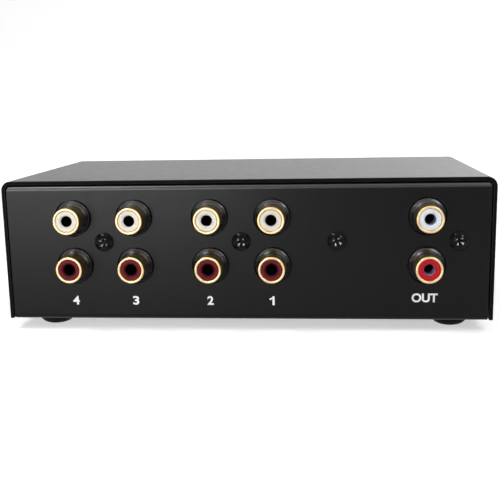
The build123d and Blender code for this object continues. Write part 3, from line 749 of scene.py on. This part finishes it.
# Places that several pieces share
sockets = {}
for column in socket_columns:
    for colour in colours:
        centre = middle(f"{column}_{colour}_shell")
        sockets[column, colour] = (centre.x, centre.z)
shell_low, shell_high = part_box("output_red_shell")
tip = rear_face - shell_low.y
shell_back = shell_high.y - rear_face
screw_low, screw_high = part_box("rear_screws")
screw_height = (screw_low.z + screw_high.z) / 2
screw_columns = (
    middle("left_input_block").x,
    middle("right_input_block").x,
    middle("board_bracket").x,
    screw_high.x - head_radius,
)
selector = next(joint for joint in frame["joints"] if joint["name"] == "selector_turn")
selector_axis = Vector(selector["pos_m"])
nut_low, nut_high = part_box("press_nuts")
cover_screw_height = (nut_low.z + nut_high.z) / 2
nut_radius = (nut_high.z - nut_low.z) / 2
cover_screw_depths = (nut_low.y + nut_radius, nut_high.y - nut_radius)


# Tray: base, back and front in one strip, with lips along the top and flanges at the sides
through_sheet = (-sheet - overrun, overrun)


def make_strip():
    """The folded strip, its upper corners rounded to clear the bends of the cover."""
    path = rounded([
        (rear_face + top_lip, tray_top - half_sheet, 0),
        (rear_face + half_sheet, tray_top - half_sheet, tray_bend),
        (rear_face + half_sheet, base_bottom + half_sheet, tray_bend),
        (front_face - half_sheet, base_bottom + half_sheet, tray_bend),
        (front_face - half_sheet, tray_top - half_sheet, tray_bend),
        (front_face - top_lip, tray_top - half_sheet, 0),
    ], closed=False)
    strip = meshed(prism(thickened(path, sheet), -half_panel, half_panel, along_axes), "tray")
    side = half_panel + slack
    corners = rounded([
        (-side, base_bottom - overrun, 0),
        (side, base_bottom - overrun, 0),
        (side, tray_top + slack, cover_bend),
        (-side, tray_top + slack, cover_bend),
    ])
    rounding = prism(corners, rear_face - overrun, front_face + overrun, across_axes)
    return combined(strip, "INTERSECT", rounding)


def with_flanges(strip):
    """The strip with its base cut back at both sides and a flange folded up in each gap."""
    centre = (front_face + rear_face) / 2
    flange_reach = (front_face - rear_face) / 2 - (sheet + tray_bend + 2 * corner_relief)
    cut_reach = flange_reach + corner_relief
    cuts = []
    joins = []
    for way in (-1, 1):
        inner = way * (half_panel - flange_setback)
        outer = way * (half_panel + overrun)
        notch = [
            (inner, base_bottom - overrun),
            (outer, base_bottom - overrun),
            (outer, base_bottom + sheet + overrun),
            (inner, base_bottom + sheet + overrun),
        ]
        cuts.append(prism(notch, centre - cut_reach, centre + cut_reach, across_axes))
        flange = rounded([
            (inner - way * overlap, base_bottom + half_sheet, 0),
            (way * (half_panel - half_sheet), base_bottom + half_sheet, tray_bend),
            (way * (half_panel - half_sheet), base_bottom + flange_height, 0),
        ], closed=False)
        outline = thickened(flange, sheet)
        joins.append(prism(outline, centre - flange_reach, centre + flange_reach, across_axes))
    strip = combined(strip, "DIFFERENCE", gathered(cuts))
    return combined(strip, "UNION", gathered(joins))


def tray_holes():
    """Forms that cut every hole of the tray."""
    holes = []
    for x, z in sockets.values():
        holes.append(bore(boss_radius + boss_gap, *through_sheet, at(x, rear_face, z, rearward)))
    for x in screw_columns:
        holes.append(bore(screw_hole_radius, *through_sheet, at(x, rear_face, screw_height, rearward)))
    for y in cover_screw_depths:
        place = at(0, y, cover_screw_height, rightward)
        holes.append(bore(screw_hole_radius, -half_width, half_width, place))
    spacer_low, spacer_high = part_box("spacers")
    for x in (spacer_low.x + spacer_radius, spacer_high.x - spacer_radius):
        for y in (spacer_low.y + spacer_radius, spacer_high.y - spacer_radius):
            place = at(x, y, base_bottom)
            holes.append(bore(spigot_radius + thread_clearance, -overrun, sheet + overrun, place))
    for radius, drop in ((bushing_hole_radius, 0), (locating_hole_radius, locating_drop)):
        place = at(selector_axis.x, front_face, selector_axis.z - drop, forward)
        holes.append(bore(radius, *through_sheet, place))
    return gathered(holes)


def make_tray():
    tray = combined(with_flanges(make_strip()), "DIFFERENCE", tray_holes())
    return softened(tray, edge_round)


def on_bend(middle_point, direction):
    """Whether a face lies on the bend between a wall and its lip, which gets a painted highlight."""
    return abs(direction.x) < bend_end_share and min(abs(direction.y), direction.z) > bend_share


def high_on_bend(middle_point, direction):
    """Whether a face lies on the upper part of such a bend, which gets the brightest painted highlight."""
    return on_bend(middle_point, direction) and direction.z > bend_highlight_share


tray = piece("folded_tray", make_tray(), "case_paint", stands_for=["chassis_tray"])
# Painted highlight: the bends get glossier copies of the paint, brightest on their upper part
refinish(tray, "painted_bend_sheen", on_bend)
refinish(tray, "painted_bend_highlight", high_on_bend)


# Cover: top and sides in one sheet, with rounded bends
def make_cover():
    path = rounded([
        (-half_width + half_sheet, cover_low.z, 0),
        (-half_width + half_sheet, cover_high.z - half_sheet, cover_bend),
        (half_width - half_sheet, cover_high.z - half_sheet, cover_bend),
        (half_width - half_sheet, cover_low.z, 0),
    ], closed=False)
    cover = meshed(prism(thickened(path, sheet), cover_low.y, cover_high.y, across_axes), "cover")
    side = half_width + overrun
    holes = []
    for y in cover_screw_depths:
        holes.append(bore(screw_hole_radius, -side, side, at(0, y, cover_screw_height, rightward)))
    return softened(combined(cover, "DIFFERENCE", gathered(holes)), edge_round, cover_edge_steps)


cover = piece("folded_cover", make_cover(), "case_paint", stands_for=["top_cover"])
refinish(cover, "cut_edge", lambda middle_point, direction: abs(direction.y) > flat_share)
# Painted sheen: the top of the cover gets a glossier copy of the paint
refinish(cover, "painted_top_sheen", lambda middle_point, direction: direction.z > flat_share)


# Sockets: a gold barrel with a rolled lip, and an insulator with the hole for the pin
barrel_outline = rounded([
    (barrel_inner, tip, barrel_lip),
    (barrel_radius, tip, barrel_lip),
    (barrel_radius, neck_height, 0),
    (neck_radius, neck_height, 0),
    (neck_radius, rivet_height - shell_back, 0),
    (rivet_radius, rivet_height - shell_back, 0),
    (rivet_radius, -shell_back, 0),
    (barrel_inner, -shell_back, 0),
])
insulator_face = tip - insulator_recess
pin_end = insulator_face - pin_depth
insulator_outline = rounded([
    (pin_radius + mouth_width, insulator_face, mouth_round),
    (insulator_radius, insulator_face, insulator_round),
    (insulator_radius, -shell_back, 0),
    (contact_bore, -shell_back, 0),
    (contact_bore, pin_end, 0),
    (pin_radius, pin_end, 0),
    (pin_radius, insulator_face - mouth_depth, mouth_round),
])


def in_hole(middle_point, direction):
    """Whether a face lines the hole for the pin."""
    radius = middle_point.xy.length
    return radius < pin_radius + lining_margin and direction.xy.dot(middle_point.xy) < 0


for (column, colour), (x, z) in sockets.items():
    name = f"{column}_{colour}"
    place = at(x, rear_face, z, rearward)
    barrel = smoothed(meshed(lathe(barrel_outline), "barrel"))
    piece(f"{name}_barrel", barrel, "gold_plate", place, [f"{name}_shell"])
    insulator = smoothed(meshed(lathe(insulator_outline), "insulator"))
    node = f"{name}_insulator"
    core = piece(f"{name}_core", insulator, slot_of[node], place, [node])
    # The lining of each pin hole is painted: shade in the inputs, a bluish reflection in the output
    refinish(core, "painted_hole_reflection" if column == "output" else "painted_hole_shade", in_hole)


# Blocks: a body behind the panel, with a boss of two tapered steps round each socket
def make_block(block_name):
    low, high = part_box(f"{block_name}_block")
    front = rear_face + sheet
    body_outline = rounded([
        (low.x, low.z, block_corner),
        (high.x, low.z, block_corner),
        (high.x, high.z, block_corner),
        (low.x, high.z, block_corner),
    ])
    block = meshed(prism(body_outline, front, high.y, across_axes), "block")
    places = [place for place in sockets.values() if low.x < place[0] < high.x]
    boss_outline = rounded([
        (0, -sheet - overlap, 0),
        (boss_radius, -sheet - overlap, 0),
        (boss_radius, boss_edge, boss_round),
        (collar_radius, boss_height, 0),
        (collar_radius, collar_edge, boss_round),
        (collar_top_radius, collar_height, 0),
        (0, collar_height, 0),
    ])
    bosses = [placed(lathe(boss_outline), at(x, rear_face, z, rearward)) for x, z in places]
    block = combined(block, "UNION", gathered(bosses))
    back = rear_face - high.y - overrun
    holes = []
    for x, z in places:
        place = at(x, rear_face, z, rearward)
        holes.append(bore(neck_radius + neck_clearance, back, collar_height + overrun, place))
    for x in screw_columns:
        if low.x < x < high.x:
            holes.append(bore(screw_hole_radius, back, overrun, at(x, rear_face, screw_height, rearward)))
    return smoothed(combined(block, "DIFFERENCE", gathered(holes)))


def on_taper(middle_point, direction):
    """Whether a face lies on the upper side of a boss, which gets a painted highlight."""
    return middle_point.y < rear_face and direction.z > taper_share


def high_on_taper(middle_point, direction):
    """Whether a face lies near the top of a boss, which gets the brightest painted highlight."""
    return on_taper(middle_point, direction) and direction.z > taper_highlight_share


for block_name in block_names:
    node = f"{block_name}_block"
    block = piece(f"{block_name}_moulding", make_block(block_name), "black_plastic", stands_for=[node])
    # Painted highlight: the upper side of each boss gets glossier copies of the moulding, brightest near its top
    refinish(block, "painted_taper_sheen", on_taper)
    refinish(block, "painted_taper_highlight", high_on_taper)


# Screws: pan heads with a tapered cross recess, whose edges are worn bright
def cross(width, span, height):
    """Corners of a cross, as points at one height."""
    near = width / 2
    far = span / 2
    corners = [(near, near), (near, far), (-near, far), (-near, near), (-far, near), (-far, -near)]
    corners += [(-u, -v) for u, v in corners]
    return [(u, v, height) for u, v in corners]


def make_recess():
    """The form that cuts a recess, from its bottom to above the head."""
    form = bmesh.new()
    bottom_height = head_height - recess_depth
    bottom = cross(recess_slot * recess_taper_share, recess_span * recess_taper_share, bottom_height)
    widening = 1 + overrun / recess_depth * (1 - recess_taper_share)
    top = cross(recess_slot * widening, recess_span * widening, head_height + overrun)
    rings = [[form.verts.new(point) for point in ring] for ring in (bottom, top)]
    return closed_round(form, *rings)


def make_screw_mesh(thread):
    dome_radius = (head_radius ** 2 + (head_height - head_rim) ** 2) / (2 * (head_height - head_rim))
    dome_centre = head_height - dome_radius
    half_way = Vector((head_radius, head_rim - dome_centre)).normalized()
    bulge = (half_way + Vector((0, 1))).normalized() * dome_radius
    dome = arc_through((head_radius, head_rim), (bulge.x, dome_centre + bulge.y), (0, head_height))
    outline = [(0, -thread), (thread_radius, -thread), (thread_radius, 0), (head_radius - head_round, 0)]
    outline += [(head_radius, head_round), (head_radius, head_rim)]
    outline += [(p.x, p.y) for p in dome[:-1]] + [(0, head_height)]
    screw = combined(meshed(lathe(outline), "screw"), "DIFFERENCE", make_recess())
    return softened(screw, recess_edge, recess_edge_steps)


def repeated(mesh, places):
    """Copies of a mesh at several places, in one mesh."""
    whole = bmesh.new()
    for place in places:
        copy = mesh.copy()
        copy.transform(place)
        whole.from_mesh(copy)
        bpy.data.meshes.remove(copy)
    return smoothed(meshed(whole, "repeated"))


def spun(turn):
    """A turn about Z, in degrees."""
    return Matrix.Rotation(radians(turn), 4, "Z")


def worn_test(places):
    """A test for the edges of the recesses, where the black is worn off the screws at these places."""
    inverses = [place.inverted() for place in places]

    def worn(middle_point, direction):
        for inverse in inverses:
            spot = inverse @ middle_point
            if spot.z > head_height / 2 and spot.xy.length < recess_span / 2 + recess_edge:
                lean = abs((inverse.to_3x3() @ direction).z)
                return worn_lean_shares[0] < lean < worn_lean_shares[1]
        return False

    return worn


rear_places = [
    at(x, rear_face, screw_height, rearward) @ spun(turn) for x, turn in zip(screw_columns, rear_screw_turns)
]
rear_screws = repeated(make_screw_mesh(rear_thread), rear_places)
rear_set = piece("rear_pan_screws", rear_screws, "black_screw", stands_for=["rear_screws"])
refinish(rear_set, "worn_steel", worn_test(rear_places))

cover_places = []
for side, turn in ((-1, leftward), (1, rightward)):
    for y in cover_screw_depths:
        spin = spun(cover_screw_turns[len(cover_places)])
        cover_places.append(at(side * half_width, y, cover_screw_height, turn) @ spin)
cover_screws = repeated(make_screw_mesh(cover_thread), cover_places)
cover_set = piece("side_pan_screws", cover_screws, "black_screw", stands_for=["cover_screws"])
refinish(cover_set, "worn_steel", worn_test(cover_places))


# Feet: rubber domes with a flat to stand on
def make_foot(low, high):
    radius = (high.x - low.x) / 2
    height = high.z - low.z
    bulge = (radius * foot_bulge_share, height * foot_bulge_height_share)
    dome = arc_through((foot_flat_radius, 0), bulge, (radius, height - foot_rim))
    outline = [(0, 0), (foot_flat_radius, 0)] + [(p.x, p.y) for p in dome]
    outline += [(radius, height - foot_round), (radius - foot_round, height), (0, height)]
    return smoothed(meshed(lathe(outline), "foot"))


for end in ("rear", "front"):
    for side in ("left", "right"):
        node = f"foot_{end}_{side}"
        low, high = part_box(node)
        place = at((low.x + high.x) / 2, (low.y + high.y) / 2, low.z)
        piece(f"rubber_{end}_{side}", make_foot(low, high), "foot_rubber", place, [node])


# Printed lettering
def lettering(words, height, width):
    """White print, as thin letters centred on the origin."""
    if words == "1":
        outline = [(u * height, v * height) for u, v in numeral_one_shares]
        mesh = meshed(prism(outline, -print_thickness, print_thickness, flat_axes), "print")
    else:
        text = bpy.data.curves.new("print", "FONT")
        text.body = words
        text.offset = letter_weight
        text.extrude = print_thickness
        mesh = with_modifiers(shown("print", text))
    lows = [min(v.co[k] for v in mesh.vertices) for k in range(2)]
    highs = [max(v.co[k] for v in mesh.vertices) for k in range(2)]
    wide = width / (highs[0] - lows[0])
    tall = height / (highs[1] - lows[1])
    for vertex in mesh.vertices:
        vertex.co.x = (vertex.co.x - (lows[0] + highs[0]) / 2) * wide
        vertex.co.y = (vertex.co.y - (lows[1] + highs[1]) / 2) * tall
        vertex.co.z = print_thickness if vertex.co.z > 0 else -print_thickness
    return welded(mesh)


for column in socket_columns[:-1]:
    digit = column[-1]
    x = sockets[column, "red"][0] - back_print_shift
    place = at(x, rear_face, base_bottom + back_print_rise, rearward)
    numeral = lettering(digit, digit_height, digit_height * digit_width_shares[digit])
    piece(f"back_print_{digit}", numeral, "pointer_white", place)
x = sockets["output", "red"][0] - back_print_shift
place = at(x, rear_face, base_bottom + output_print_rise, rearward)
piece("back_print_out", lettering("OUT", word_height, word_width), "pointer_white", place)

for number, turn in enumerate(dial_turns, start=1):
    across = dial_print_radius * sin(radians(turn))
    rise = dial_print_radius * cos(radians(turn))
    place = at(selector_axis.x + across, front_face, selector_axis.z + rise, forward)
    digit = str(number)
    numeral = lettering(digit, dial_print_height, dial_print_height * digit_width_shares[digit])
    piece(f"dial_print_{digit}", numeral, "pointer_white", place)
tick_outline = [
    (-tick_width / 2, tick_start),
    (tick_width / 2, tick_start),
    (tick_width / 2, tick_end),
    (-tick_width / 2, tick_end),
]
ticks = []
for turn in dial_turns:
    tick = prism(tick_outline, -print_thickness, print_thickness, flat_axes)
    ticks.append(placed(tick, spun(turn)))
place = at(selector_axis.x, front_face, selector_axis.z, forward)
piece("dial_ticks", meshed(gathered(ticks), "ticks"), "pointer_white", place)


# Stage
def seen_strength(tree, unseen, seen):
    """One strength for light on the object, another for what is seen, also in metal and glass."""
    link = tree.links.new
    rays = tree.nodes.new("ShaderNodeLightPath")
    looked_at = rays.outputs["Is Camera Ray"]
    for kind in ("Is Glossy Ray", "Is Transmission Ray"):
        either = tree.nodes.new("ShaderNodeMath")
        either.operation = "MAXIMUM"
        link(looked_at, either.inputs[0])
        link(rays.outputs[kind], either.inputs[1])
        looked_at = either.outputs[0]
    strength = tree.nodes.new("ShaderNodeMapRange")
    strength.inputs["To Min"].default_value = unseen
    strength.inputs["To Max"].default_value = seen
    link(looked_at, strength.inputs["Value"])
    return strength.outputs["Result"]


def make_stage():
    """A floor that sweeps up into a backdrop."""
    corners = [(floor_front, 0, 0), (floor_back, 0, sweep_radius), (floor_back, wall_height, 0)]
    path = rounded(corners, closed=False)
    form = bmesh.new()
    rings = [[form.verts.new((side, p.x, p.y)) for p in path] for side in (-floor_side, floor_side)]
    for k in range(len(path) - 1):
        form.faces.new((rings[0][k], rings[1][k], rings[1][k + 1], rings[0][k + 1]))
    mesh = meshed(form, "stage")
    mesh.shade_smooth()
    made = surface("pale_paper", floor_colour, floor_roughness, specular=floor_specular)
    shader = shader_of(made)
    shader.inputs["Emission Color"].default_value = white
    glow = seen_strength(made.node_tree, 0, floor_glow)
    made.node_tree.links.new(glow, shader.inputs["Emission Strength"])
    mesh.materials.append(made)
    thing = shown("backdrop", mesh)


make_stage()


# Lights
def softbox(name, place, aim, width, height, power, opening):
    """A lamp with a flat face; the opening is the angle, in degrees, that its grid lets light out at."""
    lamp = bpy.data.lights.new(name, "AREA")
    lamp.shape = "RECTANGLE"
    lamp.size = width
    lamp.size_y = height
    lamp.energy = power
    lamp.spread = radians(opening)
    thing = bpy.data.objects.new(name, lamp)
    bpy.context.scene.collection.objects.link(thing)
    thing.location = place
    thing.rotation_euler = (Vector(aim) - Vector(place)).to_track_quat("-Z", "Y").to_euler()
    thing.visible_camera = False


for name, values in lamps.items():
    softbox(name, *values)

world = bpy.data.worlds.new("room")
world.use_nodes = True
room = world.node_tree.nodes["Background"]
room.inputs["Color"].default_value = white
world.node_tree.links.new(seen_strength(world.node_tree, room_light, room_glow), room.inputs["Strength"])
bpy.context.scene.world = world


# Camera, as far from the back panel and as high over the case's lower edge as in the photograph
lens = bpy.data.cameras.new("camera")
lens.sensor_width = sensor_width
lens.sensor_fit = "HORIZONTAL"
lens.lens = focal_length
lens.clip_start = nearest_seen
camera = bpy.data.objects.new("camera", lens)
bpy.context.scene.collection.objects.link(camera)
yaw = radians(camera_yaw)
pitch = radians(camera_pitch)
roll = radians(camera_roll)
ahead = Vector((sin(yaw) * cos(pitch), cos(yaw) * cos(pitch), -sin(pitch)))
level = Vector((cos(yaw), -sin(yaw), 0))
level_down = ahead.cross(level)
to_right = cos(roll) * level + sin(roll) * level_down
down = ahead.cross(to_right)
camera.matrix_world = at(
    camera_across, rear_face - camera_distance, base_bottom + camera_rise, facing(to_right, -down, -ahead)
)
bpy.context.scene.camera = camera
bpy.context.scene.view_settings.view_transform = "Standard"
